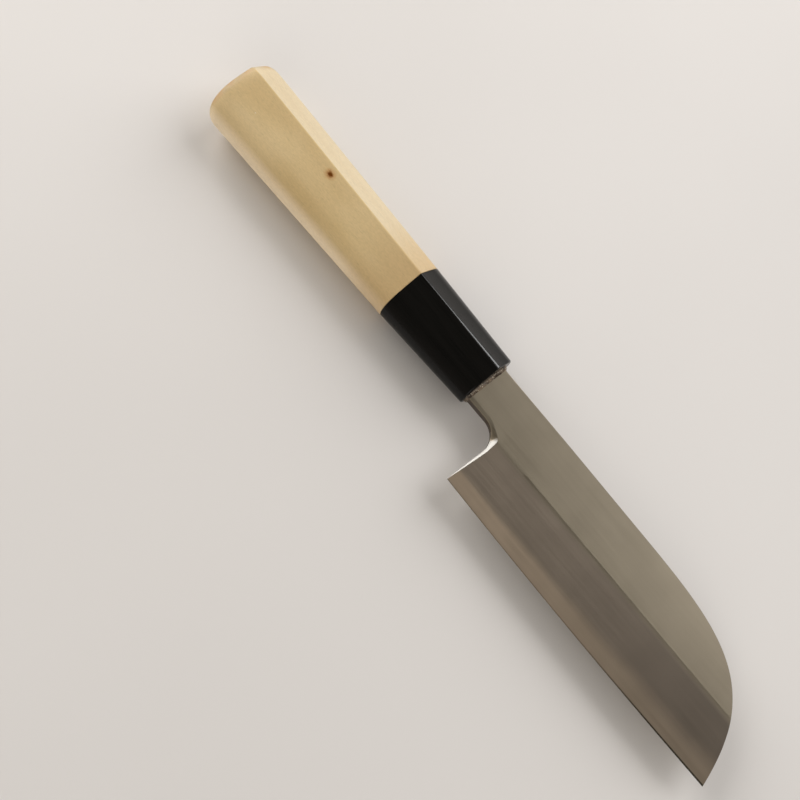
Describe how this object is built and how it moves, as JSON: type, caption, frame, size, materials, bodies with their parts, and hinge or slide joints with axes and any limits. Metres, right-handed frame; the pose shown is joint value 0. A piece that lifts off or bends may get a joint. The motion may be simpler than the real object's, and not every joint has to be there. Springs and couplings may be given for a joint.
{
  "type": "peeling knife",
  "caption": "Small single-bevel Japanese peeling knife with a laminated blade, sickle-shaped tip, pale wooden handle of chestnut section and black ferrule.",
  "frame": {"origin": "middle of the underside of the bounding box, with the knife laid on its flat back", "axes": "+X along the handle towards the tip, +Y from the edge to the spine, +Z out of the bevelled right face"},
  "size_m": [0.2389, 0.0418, 0.0193],
  "materials": {
    "blade_iron": "satin, fine lengthwise scratches",
    "blade_steel": "satin, brighter than the iron",
    "handle_wood": "pale bare wood, fine lengthwise grain",
    "ferrule": "glossy black, horn-like",
    "tang_seal": "golden-brown resin"
  },
  "bodies": {
    "root": {"blade_iron": "blade_iron", "blade_steel": "blade_steel", "handle_wood": "handle_wood", "ferrule": "ferrule", "tang_seal": "tang_seal"}
  },
  "joints": []
}
